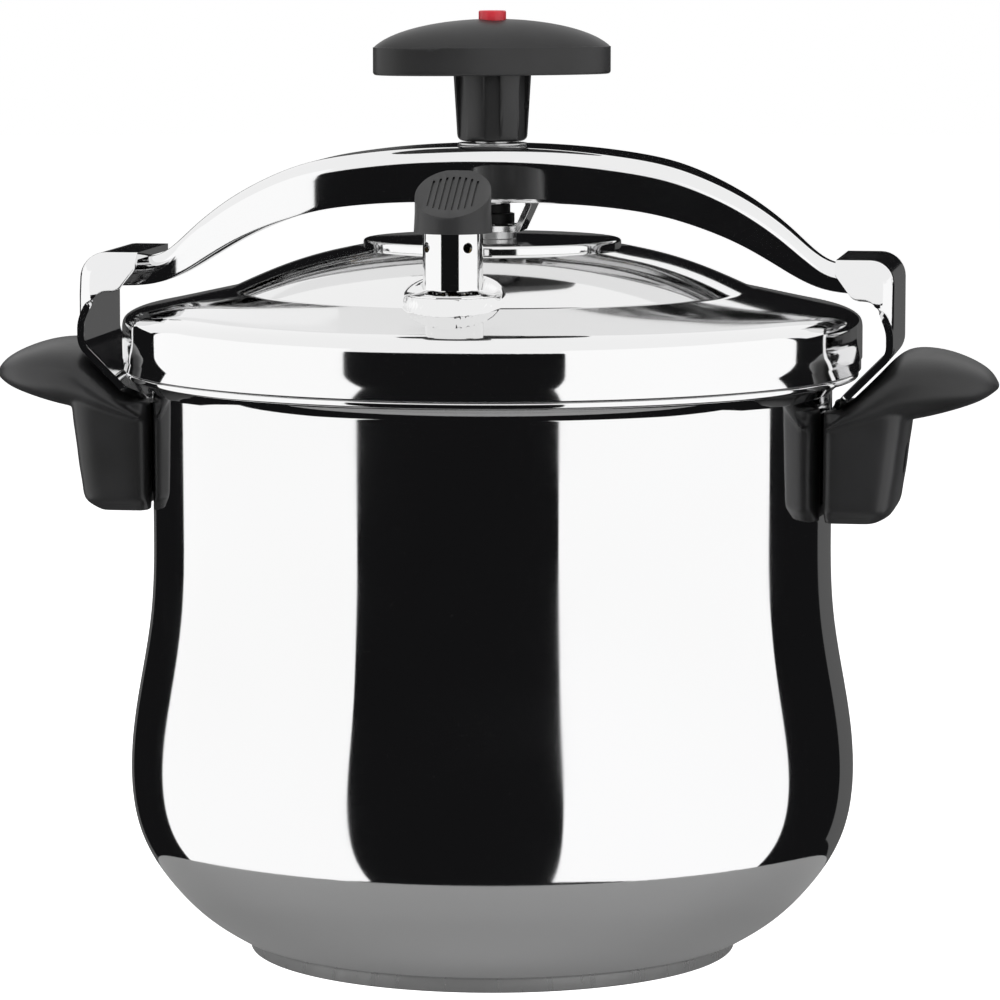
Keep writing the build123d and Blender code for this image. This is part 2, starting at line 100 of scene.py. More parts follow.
# %% Turn grids of points into one closed mesh
def quads(rows, cols, start):
    """Corner numbers of the quads between neighbouring rows and columns of a grid of points."""
    first = start + np.arange(rows - 1)[:, None] * cols + np.arange(cols - 1)[None, :]
    return np.stack([first, first + 1, first + cols + 1, first + cols], axis=-1).reshape(-1, 4)


def mesh_from_grids(name, grids, sharp=40.0, outward=True):
    """Joins grids of points, given in millimetres, into one welded mesh in metres."""
    points = np.concatenate([grid.reshape(-1, 3) for grid in grids]) * MM
    faces, start = [], 0
    for grid in grids:
        faces.append(quads(grid.shape[0], grid.shape[1], start))
        start += grid.shape[0] * grid.shape[1]
    faces = np.concatenate(faces)
    mesh = bpy.data.meshes.new(name)
    mesh.vertices.add(len(points))
    mesh.vertices.foreach_set("co", points.astype(np.float32).ravel())
    mesh.loops.add(faces.size)
    mesh.loops.foreach_set("vertex_index", faces.astype(np.int32).ravel())
    mesh.polygons.add(len(faces))
    mesh.polygons.foreach_set("loop_start", np.arange(len(faces), dtype=np.int32) * 4)
    mesh.update(calc_edges=True)
    weld = bmesh.new()
    weld.from_mesh(mesh)
    bmesh.ops.remove_doubles(weld, verts=weld.verts, dist=0.004 * MM)
    bmesh.ops.dissolve_degenerate(weld, edges=weld.edges, dist=0.001 * MM)
    if outward:
        bmesh.ops.recalc_face_normals(weld, faces=weld.faces)
    weld.to_mesh(mesh)
    weld.free()
    mesh.polygons.foreach_set("use_smooth", np.ones(len(mesh.polygons), dtype=bool))
    mesh.set_sharp_from_angle(angle=radians(sharp))
    return mesh


def add_piece(name, mesh, body, material, nodes):
    """Puts a finished mesh in the scene, on its body, in place of the frame's pieces."""
    piece = bpy.data.objects.new(name, mesh)
    bpy.context.scene.collection.objects.link(piece)
    mesh.materials.append(material)
    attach(piece, body)
    if nodes:
        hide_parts(*nodes)
    print(name, "faces:", len(mesh.polygons))
    return piece


# %% Round the corners of a piece
def round_corners(piece, width, segments, corner):
    """Bevels every edge sharper than corner degrees by width millimetres."""
    bevel = piece.modifiers.new("rounded_corners", "BEVEL")
    bevel.width = width * MM
    bevel.segments = segments
    bevel.limit_method = "ANGLE"
    bevel.angle_limit = radians(corner)
    return bevel


print("corner widths are given in millimetres; one is", MM, "m")

# %% Lines that surfaces are drawn along
def smooth_line(points, count):
    """A natural cubic spline through the points, by distance along them, sampled evenly."""
    knots = np.array(points, float)
    gaps = np.linalg.norm(np.diff(knots, axis=0), axis=1)
    t = np.concatenate([[0], np.cumsum(gaps)])
    n = len(knots)
    system = np.eye(n)
    right = np.zeros((n, knots.shape[1]))
    for i in range(1, n - 1):
        system[i, i - 1:i + 2] = gaps[i - 1], 2 * (gaps[i - 1] + gaps[i]), gaps[i]
        right[i] = 6 * ((knots[i + 1] - knots[i]) / gaps[i] - (knots[i] - knots[i - 1]) / gaps[i - 1])
    bend = np.linalg.solve(system, right)
    at = np.linspace(0, t[-1], count)
    k = np.clip(np.searchsorted(t, at, side="right") - 1, 0, n - 2)
    h, a, b = gaps[k][:, None], (t[k + 1] - at)[:, None], (at - t[k])[:, None]
    return (bend[k] * a ** 3 + bend[k + 1] * b ** 3) / (6 * h) \
        + (knots[k] / h - bend[k] * h / 6) * a + (knots[k + 1] / h - bend[k + 1] * h / 6) * b


def arc(centre, radius, start, end, count=8):
    """Points on a circle's arc, from one angle to another in degrees."""
    angle = np.radians(np.linspace(start, end, count))
    return np.stack([centre[0] + radius * np.cos(angle), centre[1] + radius * np.sin(angle)], axis=1)


def smooth_step(t):
    """Rises from 0 to 1 with no corner at either end."""
    t = np.clip(t, 0, 1)
    return t * t * (3 - 2 * t)


print("points on a quarter turn:", len(arc((0, 0), 1, 0, 90)))


# %% Rounded runs and turned surfaces
def rounded_run(corners, radii, steps=8):
    """Straight runs joined by tangent arcs of the given radii, in any number of dimensions."""
    corners = np.array(corners, float)
    out = [corners[0][None]]
    for before, corner, after, radius in zip(corners, corners[1:], corners[2:], radii):
        a = (before - corner) / np.linalg.norm(before - corner)
        b = (after - corner) / np.linalg.norm(after - corner)
        half = np.arccos(np.clip(a @ b, -1, 1)) / 2
        reach = radius / np.tan(half)
        middle = corner + (a + b) / np.linalg.norm(a + b) * radius / np.sin(half)
        first, last = corner + a * reach, corner + b * reach
        turn = np.linspace(0, 1, steps)[:, None] * (pi - 2 * half)
        u = (first - middle) / radius
        v = (last - middle) / radius
        w = (v - u * (u @ v)) / np.linalg.norm(v - u * (u @ v))
        out.append(middle + radius * (u * np.cos(turn) + w * np.sin(turn)))
    out.append(corners[-1][None])
    return np.concatenate(out)


def spin(profile, sides=224, x=0.0, y=0.0):
    """The profile, given as radius and height, carried once round an upright axis."""
    profile = np.array(profile, float)
    angle = np.linspace(0, 2 * pi, sides + 1)
    angle[-1] = 0.0
    around = np.stack([np.cos(angle), np.sin(angle)], axis=1)
    flat = profile[:, None, 0:1] * around[None]
    height = np.repeat(profile[:, None, 1:2], sides + 1, axis=1)
    return np.concatenate([flat + [x, y], height], axis=2)


print("a ring of", spin([[1, 0], [1, 1]]).shape[1] - 1, "sides by default")


# %% [markdown]
# ## Finishes
# Polished stainless steel is a plain metal with very low roughness. What makes it look real is what
# disturbs the mirror: faint hairlines, a slow ripple from pressing, and a haze where hands touch it.
# Those are small changes of roughness and bump, worked out from noise on the object's own coordinates.

# %% Node helpers
def new_material(name, **sockets):
    """A material with one Principled shader; plain values go straight onto its sockets."""
    material = bpy.data.materials.new(name)
    material.use_nodes = True
    shader = material.node_tree.nodes["Principled BSDF"]
    for socket, value in sockets.items():
        shader.inputs[socket.replace("_", " ")].default_value = value
    return material, material.node_tree, shader


def noise(tree, scale, detail=3.0, stretch=(1, 1, 1), rough=0.5):
    """A noise pattern on Object coordinates, drawn out along an axis by stretch."""
    place = tree.nodes.new("ShaderNodeTexCoord")
    mapping = tree.nodes.new("ShaderNodeMapping")
    mapping.inputs["Scale"].default_value = stretch
    pattern = tree.nodes.new("ShaderNodeTexNoise")
    pattern.inputs["Scale"].default_value = scale
    pattern.inputs["Detail"].default_value = detail
    pattern.inputs["Roughness"].default_value = rough
    tree.links.new(place.outputs["Object"], mapping.inputs["Vector"])
    tree.links.new(mapping.outputs["Vector"], pattern.inputs["Vector"])
    return pattern.outputs["Fac"]


def spread(tree, source, lowest, highest, start=0.3, end=0.7):
    """Maps a pattern from one range of values to another."""
    node = tree.nodes.new("ShaderNodeMapRange")
    node.inputs["From Min"].default_value = start
    node.inputs["From Max"].default_value = end
    node.inputs["To Min"].default_value = lowest
    node.inputs["To Max"].default_value = highest
    tree.links.new(source, node.inputs["Value"])
    return node.outputs["Result"]


def add_bump(tree, shader, source, depth, strength=1.0, under=None):
    """Presses a pattern into the surface as fine relief, in metres of depth."""
    node = tree.nodes.new("ShaderNodeBump")
    node.inputs["Strength"].default_value = strength
    node.inputs["Distance"].default_value = depth
    tree.links.new(source, node.inputs["Height"])
    if under is not None:
        tree.links.new(under, node.inputs["Normal"])
    tree.links.new(node.outputs["Normal"], shader.inputs["Normal"])
    return node.outputs["Normal"]


def tint(tree, shader, source, dark, light):
    """Varies the base colour between two close tones."""
    ramp = tree.nodes.new("ShaderNodeValToRGB")
    ramp.color_ramp.elements[0].color = (*dark, 1)
    ramp.color_ramp.elements[1].color = (*light, 1)
    ramp.color_ramp.elements[0].position = 0.35
    ramp.color_ramp.elements[1].position = 0.65
    tree.links.new(source, ramp.inputs["Fac"])
    tree.links.new(ramp.outputs["Color"], shader.inputs["Base Color"])


print("materials so far:", len(bpy.data.materials))


# %% Polished, brushed and turned steel
def polished_steel(name, lowest=0.03, highest=0.075, tone=0.86):
    """Mirror-polished stainless: cloudy haze in the roughness, a pressing ripple and hairlines."""
    material, tree, shader = new_material(name, Metallic=1.0)
    haze = noise(tree, 22.0, 5.0)
    tree.links.new(spread(tree, haze, lowest, highest), shader.inputs["Roughness"])
    tint(tree, shader, noise(tree, 6.0, 2.0), (tone - 0.02,) * 3, (tone, tone, tone + 0.004))
    ripple = add_bump(tree, shader, noise(tree, 9.0, 1.0), 0.00012, 0.25)
    add_bump(tree, shader, noise(tree, 420.0, 2.0, (1, 1, 9)), 0.000004, 0.35, under=ripple)
    return material


def brushed_steel(name, tone=0.62, rough=(0.24, 0.36)):
    """Satin steel: the grain is noise drawn out round the piece, in roughness and bump."""
    material, tree, shader = new_material(name, Metallic=1.0)
    grain = noise(tree, 260.0, 3.0, (1, 1, 0.15))
    tree.links.new(spread(tree, grain, *rough), shader.inputs["Roughness"])
    tint(tree, shader, noise(tree, 30.0, 3.0), (tone - 0.05,) * 3, (tone,) * 3)
    add_bump(tree, shader, grain, 0.00001, 0.5)
    return material


STEEL = polished_steel("polished_stainless")
LID_STEEL = polished_steel("polished_lid", 0.035, 0.08, 0.87)
HOOK_STEEL = polished_steel("polished_hook", 0.05, 0.11, 0.85)
BRUSHED = brushed_steel("brushed_stainless")
TURNED = brushed_steel("turned_steel", 0.58, (0.16, 0.27))
WIRE = brushed_steel("spring_wire", 0.42, (0.22, 0.34))
CORE = brushed_steel("core_aluminium", 0.72, (0.3, 0.42))
print("steel finishes:", 7)

# %% [markdown]
# ## Black phenolic, silicone, brass and the red button
# The grips and the knob are moulded phenolic: nearly black, satin, with a fine orange-peel skin and
# slightly brighter places where hands polish it.

# %% Moulded and soft finishes
def moulded(name, dark, light, rough, peel=0.00003, specular=0.5):
    """Satin moulded plastic: peel in the bump, handled patches in the roughness, a little dust."""
    material, tree, shader = new_material(name)
    shader.inputs["Specular IOR Level"].default_value = specular
    tint(tree, shader, noise(tree, 35.0, 4.0), dark, light)
    tree.links.new(spread(tree, noise(tree, 28.0, 4.0), *rough), shader.inputs["Roughness"])
    grain = add_bump(tree, shader, noise(tree, 900.0, 3.0), peel, 0.35)
    add_bump(tree, shader, noise(tree, 60.0, 2.0), 0.00004, 0.15, under=grain)
    return material


PHENOLIC = moulded("black_phenolic", (0.014,) * 3, (0.022, 0.022, 0.023), (0.34, 0.5))
NYLON = moulded("black_nylon", (0.006,) * 3, (0.010,) * 3, (0.46, 0.6), specular=0.24)
SILICONE = moulded("grey_silicone", (0.30, 0.30, 0.31), (0.36, 0.36, 0.37), (0.55, 0.7))
RED = moulded("indicator_red", (0.72, 0.03, 0.05), (0.80, 0.05, 0.07), (0.22, 0.34), 0.00001)


def turned_brass():
    """Turned brass: a yellow metal with fine rings left by the tool."""
    material, tree, shader = new_material("brass", Metallic=1.0)
    rings = noise(tree, 300.0, 2.0, (0.1, 0.1, 1))
    tint(tree, shader, noise(tree, 25.0, 3.0), (0.70, 0.50, 0.22), (0.78, 0.60, 0.30))
    tree.links.new(spread(tree, rings, 0.18, 0.32), shader.inputs["Roughness"])
    add_bump(tree, shader, rings, 0.00001, 0.4)
    return material


BRASS = turned_brass()
FINISHES = {"polished_stainless": STEEL, "brushed_stainless": BRUSHED, "turned_steel": TURNED,
            "spring_steel": WIRE, "core_aluminium": CORE, "brass": BRASS, "black_bakelite": PHENOLIC,
            "black_nylon": NYLON, "grey_silicone": SILICONE, "indicator_red": RED}
SLOT_OF = {row["node"]: row["material_slot"] for row in frame["record"]["subparts"]}
BODY_OF = {node: body for body, nodes in frame["record"]["behaviour"]["bodies"].items() for node in nodes}
print("finishes:", len(FINISHES), "for", len(SLOT_OF), "frame pieces")

# %% [markdown]
# ## Turned and pressed pieces that keep the frame's shape
# Screws, nuts, springs, the valve and the knob are already right in the frame, but the frame's mesh is
# loose triangles with no rounded edges. Each is copied, welded, shaded smooth up to its real corners,
# and given a small broken edge, because even a sharp machined edge catches a thin line of light.

# %% Copy a frame piece and break its edges
def finished_copy(node, edge=0.15, corner=28.0, material=None, label=None):
    """A welded copy of a frame piece with its corners beveled by edge, in millimetres."""
    mesh = frame["nodes"][node].data.copy()
    mesh.name = label or node + "_finished"
    weld = bmesh.new()
    weld.from_mesh(mesh)
    bmesh.ops.remove_doubles(weld, verts=weld.verts, dist=0.002 * MM)
    bmesh.ops.dissolve_limit(weld, angle_limit=radians(0.15), verts=weld.verts, edges=weld.edges)
    weld.to_mesh(mesh)
    weld.free()
    mesh.materials.clear()
    mesh.polygons.foreach_set("use_smooth", np.ones(len(mesh.polygons), dtype=bool))
    mesh.set_sharp_from_angle(angle=radians(corner))
    piece = add_piece(mesh.name, mesh, BODY_OF[node],
                      material or FINISHES[SLOT_OF[node]], [node])
    if edge:
        round_corners(piece, edge, 2, corner).harden_normals = True
    return piece


EDGES = {"handle_screws": 0.2, "handle_washers": 0.1,
         "handle_studs": 0.2, "cage_boss": 0.2, "bow_cage": 0.3, "cage_rivets": 0.0,
         "chimney_flange": 0.1, "valve_chimney": 0.15, "chimney_seal": 0.3, "chimney_nut": 0.3,
         "steam_filter": 0.15, "valve_sleeve": 0.2, "valve_weight": 0.2, "valve_cap": 0.3,
         "safety_body": 0.25, "safety_plug": 0.15, "safety_pin": 0.15, "safety_seal": 0.3,
         "safety_nut": 0.3, "safety_spring": 0.0, "bow_bush": 0.3, "bush_ring": 0.2, "spindle": 0.3,
         "spindle_foot": 0.3, "t_knob": 0.7, "knob_set_screws": 0.1, "indicator_button": 0.0,
         "indicator_rod": 0.1, "indicator_diaphragm": 0.2, "indicator_spring": 0.0, "lid_gasket": 0.0,
         "base_core": 0.2}
COPIES = {node: finished_copy(node, edge) for node, edge in EDGES.items()}
print("copies:", len(COPIES))

# %% Each spring gets a mesh of its own
SPRING_TRAVEL = {"safety_spring": ("safety_lift", 228.0, 79.0, 0.76),
                 "indicator_spring": ("indicator_rise", 292.1, 0.0, 0.66)}
for spring, (joint, seat_z, seat_y, keep) in SPRING_TRAVEL.items():
    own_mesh(COPIES[spring])
print("springs that shorten:", len(SPRING_TRAVEL))

# %% [markdown]
# ## The pot
# The pot is one sheet, spun and pressed: a straight neck, a belly and a rim turned outwards to carry
# the lid. The whole wall is one closed profile carried round the axis, so the mirror has no seams.

# %% The pot shell
NECK_R, WALL = 112.0, 1.2
BELLY = [(112.0, 186.0), (111.9, 145.0), (113.1, 111.0), (118.2, 80.0), (119.8, 58.0),
         (116.6, 39.5), (106.4, 22.8), (96.0, 12.6), (84.5, 5.2)]


def pot_profile():
    """Floor, inner wall, rim and outer wall as one line: a spline belly and a rounded rim."""
    inner = smooth_line([(r - WALL, z) for r, z in BELLY[:-1]] + [(84.2, 6.0)], 64)
    outer = smooth_line(BELLY, 96)
    round_r = 0.9
    bore = NECK_R - WALL
    rim = np.concatenate([
        arc((bore + round_r, RIM_TOP - round_r), round_r, 180, 90, 6),
        arc((RIM_R - round_r, RIM_TOP - round_r), round_r, 90, 0, 6),
        arc((RIM_R - round_r, RIM_TOP - 2.4 + round_r), round_r, 0, -90, 6),
        rounded_run([(RIM_R - round_r, RIM_TOP - 2.4), (NECK_R + 4.6, RIM_TOP - 2.4), (NECK_R, 186.4)],
                    [1.6], 6)[1:]])
    floor = np.stack([np.linspace(0, 83.0, 14), np.full(14, 6.0)], axis=1)
    under = np.stack([np.linspace(84.0, 0, 14), np.full(14, 5.2)], axis=1)
    return np.concatenate([floor, inner[::-1], rim, outer, under])


pot_shell = add_piece("pot_shell", mesh_from_grids("pot_shell", [spin(pot_profile(), 240)], 50),
                      "pot", STEEL, ["pot_body"])
print("belly radius", max(r for r, z in BELLY))

# %% The capped base
base_pan = add_piece(
    "base_pan",
    mesh_from_grids("base_pan", [spin(np.concatenate([
        [[0, 0], [40, 0]], arc((BASE_R - 0.6, 0.6), 0.6, -90, 0, 6),
        [[BASE_R, 4.7], [BASE_R - 1.1, 4.7], [BASE_R - 1.1, 0.8], [40, 0.8], [0, 0.8]]]), 200)]),
    "pot", BRUSHED, ["base_cap"])
print("base radius", round(BASE_R, 1))

# %% [markdown]
# ## The lid
# The lid's rolled flange and its dome are one pressed sheet. Both valves stand on flat seats pressed
# into the sloping dome, so the dome's height is pulled to the seat's height near each valve by a
# smooth step. The grid is finer in front and behind, where the seats are.

# %% The pressed lid
LID_RING = [(121.75, 207.2), (121.2, 209.6), (119.2, 211.3), (113.0, 213.2), (100.0, 216.0), (86.2, 219.0)]
LID_DOME = [(86.2, 219.0), (71.0, 225.6), (56.0, 230.4), (46.0, 232.6)]
SEAT_R, SEAT_STEP, FEED_R, CROWN_Z, SKIRT_LOW = 14.3, 1.7, 6.4, 232.6, 193.4


def seat_angles():
    """Angles round the lid, close together near the two valves on the Y axis."""
    fine = np.linspace(-17, 17, 86)
    coarse = np.linspace(17, 163, 94)[1:-1]
    half = np.concatenate([fine, coarse])
    return np.radians(np.concatenate([half - 90, half + 90, [270 - 17]]))


def lid_grid():
    """Height by radius, with height pulled to the seat inside a ring round each valve."""
    profile = np.concatenate([
        [[SKIRT_R - 0.35, SKIRT_LOW], [SKIRT_R - 0.35, 196.6], [SKIRT_R, 197.1], [SKIRT_R, 201.0]],
        smooth_line(LID_RING, 44),
        smooth_line(LID_DOME, 56)[1:], [[30.0, CROWN_Z], [15.0, CROWN_Z], [FEED_R, CROWN_Z]]])
    angle = seat_angles()
    x = profile[:, None, 0] * np.cos(angle)[None]
    y = profile[:, None, 0] * np.sin(angle)[None]
    z = np.repeat(profile[:, None, 1], len(angle), axis=1)
    for valve in (VALVE_Y, SAFETY_Y):
        away = np.hypot(x, y - valve)
        blend = smooth_step((away - SEAT_R) / SEAT_STEP)
        z = SEAT_Z * (1 - blend) + z * blend
    return np.stack([x, y, z], axis=2)


print("lid grid", lid_grid().shape[:2])


# %% Give an open sheet its side and its thickness
def face_from(mesh, inside):
    """Turns an open sheet's faces so that they point away from a point inside, in millimetres."""
    work = bmesh.new()
    work.from_mesh(mesh)
    outward = sum(f.normal.dot(f.calc_center_median() - inside) * f.calc_area() for f in work.faces)
    if outward < 0:
        bmesh.ops.reverse_faces(work, faces=work.faces)
    work.to_mesh(mesh)
    work.free()


def add_wall(piece, thickness, edge=0.25):
    """Gives an open sheet its real thickness inwards, with softly rounded cut edges."""
    wall = piece.modifiers.new("sheet_thickness", "SOLIDIFY")
    wall.thickness = thickness * MM
    wall.offset = -1
    wall.use_even_offset = True
    round_corners(piece, edge, 2, 50)


lid_mesh = mesh_from_grids("lid_cover", [lid_grid()], 60, outward=False)
face_from(lid_mesh, Vector((0, 0, 0.1)))
lid_cover = add_piece("lid_cover", lid_mesh, "lid", LID_STEEL, ["lid_shell"])
add_wall(lid_cover, WALL)
print("lid wall", WALL)

# %% The disc on the crown
crown_disc = add_piece(
    "crown_disc",
    mesh_from_grids("crown_disc", [spin(np.concatenate([
        [[FEED_R, CROWN_Z + 0.05], [DISC_R, CROWN_Z + 0.05]],
        arc((DISC_R - 1.0, DISC_TOP - 1.0), 1.0, 0, 90, 8),
        [[20.0, DISC_TOP], [FEED_R, DISC_TOP], [FEED_R, CROWN_Z + 0.05]]]), 200)]),
    "lid", LID_STEEL, ["centre_disc"])
print("disc radius", round(DISC_R, 1))

# %% [markdown]
# ## The bow
# The bow is a pressed channel that arches over the lid, wide over the crown and narrow where its ends
# slip under the hooks. Across the channel the section is a side, a rounded corner, the top, another
# corner and the other side; along it, the height follows two splines and the width a third.

# %% The pressed bow
BOW_END, BOW_WIDE, BOW_NARROW, BOW_ROUND, BOW_SHEET, NECK_HOLE = 126.2, 22.0, 7.6, 5.0, 2.2, 9.05
BOW_TOP = [(0, 266.2), (26, 265.3), (45, 263.2), (60, 260.2), (73.3, 255.2), (87, 247.8), (100.4, 237.6),
           (107, 231.9), (112.5, 228.9), (117, 228.2), (BOW_END, 228.2)]
BOW_LOW = [(0, 248.4), (26, 248.2), (45, 246.7), (58, 244.4), (70.8, 240.4), (83.6, 234.8), (96.3, 227.3),
           (102.8, 223.4), (109.2, 220.6), (117, 219.2), (BOW_END, 219)]
BOW_HALF = [(0, BOW_WIDE), (14, BOW_WIDE), (38, 21.9), (52, 20.4), (66, 17.4), (82, 13.6), (98, 9.9),
            (108, 8.1), (116, BOW_NARROW), (BOW_END, BOW_NARROW)]


def along_bow(points, x):
    """A value along the bow, read off a spline through mirrored points, at each distance x."""
    both = [(-a, b) for a, b in points[:0:-1]] + list(points)
    line = smooth_line(both, 600)
    return np.interp(x, line[:, 0], line[:, 1])


def bow_grid():
    """Points of the channel's outer face: rows along X, columns up one side, over and down."""
    x = np.linspace(-BOW_END, BOW_END, 301)[:, None]
    top, low = along_bow(BOW_TOP, x[:, 0])[:, None], along_bow(BOW_LOW, x[:, 0])[:, None]
    half = np.clip(along_bow(BOW_HALF, x[:, 0]), BOW_NARROW, BOW_WIDE)[:, None]
    turn = np.radians(np.linspace(0, 90, 9))[None]
    side_z = low + (top - BOW_ROUND - low) * np.linspace(0, 1, 9)[None, :-1]
    side_y = half * np.ones((1, 8))
    corner_y = half - BOW_ROUND + BOW_ROUND * np.cos(turn)
    corner_z = top - BOW_ROUND + BOW_ROUND * np.sin(turn)
    over = np.linspace(1, -1, 37)[None, 1:-1]
    over_y, over_z = (half - BOW_ROUND) * over, top * np.ones((1, 35))
    y = np.concatenate([side_y, corner_y, over_y, -corner_y[:, ::-1], -side_y[:, ::-1]], axis=1)
    z = np.concatenate([side_z, corner_z, over_z, corner_z[:, ::-1], side_z[:, ::-1]], axis=1)
    return np.stack([np.broadcast_to(x, y.shape), y, z], axis=2)


def open_hole(mesh, radius):
    """Removes the faces over a hole on the Z axis and pulls its edge to a true circle."""
    work = bmesh.new()
    work.from_mesh(mesh)
    inside = [f for f in work.faces if all(v.co.xy.length < radius for v in f.verts)]
    bmesh.ops.delete(work, geom=inside, context="FACES")
    rim = [v for v in work.verts if v.co.xy.length < radius and v.co.z > 0.25]
    for v in rim:
        v.co.xy = v.co.xy.normalized() * radius
    work.to_mesh(mesh)
    work.free()
    mesh.set_sharp_from_angle(angle=radians(50))


bow_mesh = mesh_from_grids("bow_arch", [bow_grid()], 50, outward=False)
face_from(bow_mesh, Vector((0, 0, 0.15)))
open_hole(bow_mesh, NECK_HOLE * MM)
bow_arch = add_piece("bow_arch", bow_mesh, "bow", STEEL, ["bow"])
add_wall(bow_arch, BOW_SHEET, 0.35)
print("bow sheet", BOW_SHEET, "from end to end", 2 * BOW_END)

# %% [markdown]
# ## The side hooks
# A hook is one strip of thick sheet. It rises behind the grip, leans out past the lid, stands upright and
# turns in over the bow's end. At the front the strip is also folded inwards, into a hood that stops the
# bow from leaving that way; the back stays open. The fold grows smoothly from nothing on the upright.

# %% The bent and hooded strip
STRIP, HOOK_HALF, TAB_HALF, FOLD_R, EDGE_ROUND = 2.3, 26.0, 14.0, 3.5, 0.9
FOLD_FROM, FOLD_SHARE, HOOD_DEPTH = 206.0, 0.36, 4.65
HOOD_EDGE = [(0.0, 129.6, 207.0), (0.14, 129.2, 211.4), (0.28, 128.6, 215.2), (0.42, 127.2, 217.3),
             (0.58, 125.0, 218.0), (0.74, 122.6, 218.2), (0.88, 120.6, 219.0), (1.0, 119.2, 220.6)]


def hook_line():
    """The strip's middle line in side view: straight runs with tangent bends, finely cut."""
    bends = rounded_run([(113.75, 150), (113.75, 181.4), (132.95, 200.6), (132.95, 229.65), (115, 229.65)],
                        [7, 7, 7], 10)
    away = np.concatenate([[0], np.cumsum(np.linalg.norm(np.diff(bends, axis=0), axis=1))])
    at = np.union1d(np.linspace(0, away[-1], 110), away)
    return np.stack([np.interp(at, away, bends[:, k]) for k in (0, 1)], axis=1), at


print("hook line points:", len(hook_line()[0]))


# %% Fold the strip into its hood
def hook_grid():
    """Rows along the strip, columns across it; front columns turn through the fold into the hood."""
    line, at = hook_line()
    x, z = line[:, 0:1], line[:, 1:2]
    ahead = np.gradient(line, at, axis=0)
    inward = np.stack([-ahead[:, 1], ahead[:, 0]], axis=1)
    inward /= np.linalg.norm(inward, axis=1)[:, None]
    half = TAB_HALF + (HOOK_HALF - TAB_HALF) * smooth_step((z - 182.0) / 5.0)
    fold_at = np.interp(FOLD_FROM, line[at < 80][:, 1], at[at < 80])
    share = np.clip((at - fold_at) / (at[-1] - fold_at), 0, 1)[:, None]
    folded = smooth_step(share / FOLD_SHARE)
    plain = half - (half - (HOOK_HALF - STRIP / 2 - FOLD_R)) * folded - HOOD_DEPTH * (1 - folded)
    across = np.linspace(0, 1, 22)[None]
    flat_y = half + (-plain - half) * across
    flat_x, flat_z = x + 0 * across, z + 0 * across
    turn = np.radians(90 * np.arange(1, 7) / 6)[None]
    arc_y, arc_in = -plain - FOLD_R * np.sin(turn), FOLD_R * (1 - np.cos(turn))
    edge = smooth_line(HOOD_EDGE, 200)
    edge_x, edge_z = np.interp(share, edge[:, 0], edge[:, 1]), np.interp(share, edge[:, 0], edge[:, 2])
    down = (np.arange(1, 6) / 5)[None]
    start_x, start_z = x + FOLD_R * inward[:, 0:1], z + FOLD_R * inward[:, 1:2]
    hood_x = np.concatenate([x + arc_in * inward[:, 0:1], start_x + (edge_x - start_x) * down], axis=1)
    hood_z = np.concatenate([z + arc_in * inward[:, 1:2], start_z + (edge_z - start_z) * down], axis=1)
    hood_y = np.concatenate([arc_y, np.repeat(arc_y[:, -1:], 5, axis=1)], axis=1)
    open_y = -plain - HOOD_DEPTH * (np.arange(1, 12) / 11)[None]
    front_x = x + (hood_x - x) * folded
    front_z = z + (hood_z - z) * folded
    front_y = open_y + (hood_y - open_y) * folded
    px, py, pz = (np.concatenate(pair, axis=1) for pair in
                  ((flat_x, front_x), (flat_y, front_y), (flat_z, front_z)))
    lean = 0.11 * np.clip((pz - 217) / 12, 0, 1)
    return np.stack([px, np.where(py < 0, py * (1 - lean), py), pz], axis=2)


def add_hook(name, node, side):
    """A hook on one side, with its sheet thickness centred on the drawn surface."""
    mesh = mesh_from_grids(name, [hook_grid() * np.array([side, 1, 1])], 45, outward=False)
    piece = add_piece(name, mesh, "pot", HOOK_STEEL, [node])
    wall = piece.modifiers.new("sheet_thickness", "SOLIDIFY")
    wall.thickness = STRIP * MM
    wall.offset = 0
    round_corners(piece, EDGE_ROUND, 4, 50)


add_hook("left_hook_strip", "left_hook", -1)
add_hook("right_hook_strip", "right_hook", 1)
print("hook sheet", STRIP, "width", 2 * HOOK_HALF)

# %% [markdown]
# ## The side grips
# Each grip is moulded phenolic: a broad wing to lift by, over a skirt that hides the bolted tab. Both are
# drawn as rounded sections carried along an axis, then merged into even cells and relaxed, which leaves
# the soft inner corner of a moulding where wing and skirt meet. Last, the screw's recess is drilled.

# %% Wing and skirt sections
ROOT_X, TIP_X, SKIRT_FOOT = 112.5, 167.0, 145.6
WING_TOP = [(ROOT_X, 177.2), (121, 185.6), (128, 192.6), (132.5, 197.2), (137, 200.2), (143, 201.0),
            (151, 199.8), (159, 196.8), (164.5, 192.9), (TIP_X, 188.8)]
WING_LOW = [(ROOT_X, 176.0), (124, 176.6), (137, 178.0), (147, 180.0), (156, 182.6), (163, 185.6),
            (TIP_X, 188.6)]
SKIRT_OUT = [(129.0, SKIRT_FOOT), (133.4, 148.6), (134.8, 154), (135.8, 160), (136.8, 168), (137.8, 175),
             (138.4, 182)]
STUD_Z, WING_HALF, SKIRT_HALF, POT_CLEAR, RECESS_R = 165.0, 30.0, 27.0, 112.6, 5.2


def rounded(angle, power):
    """Cosine and sine raised to 2/power with their signs kept: the corners of a rounded box."""
    c, d = np.cos(angle), np.sin(angle)
    return np.sign(c) * np.abs(c) ** (2 / power), np.sign(d) * np.abs(d) ** (2 / power)


def capped(grid):
    """Closes both ends of a tube of sections by adding each end's middle as a last row."""
    first = np.repeat(grid[:1].mean(axis=1, keepdims=True), grid.shape[1], axis=1)
    last = np.repeat(grid[-1:].mean(axis=1, keepdims=True), grid.shape[1], axis=1)
    return np.concatenate([first, grid, last])


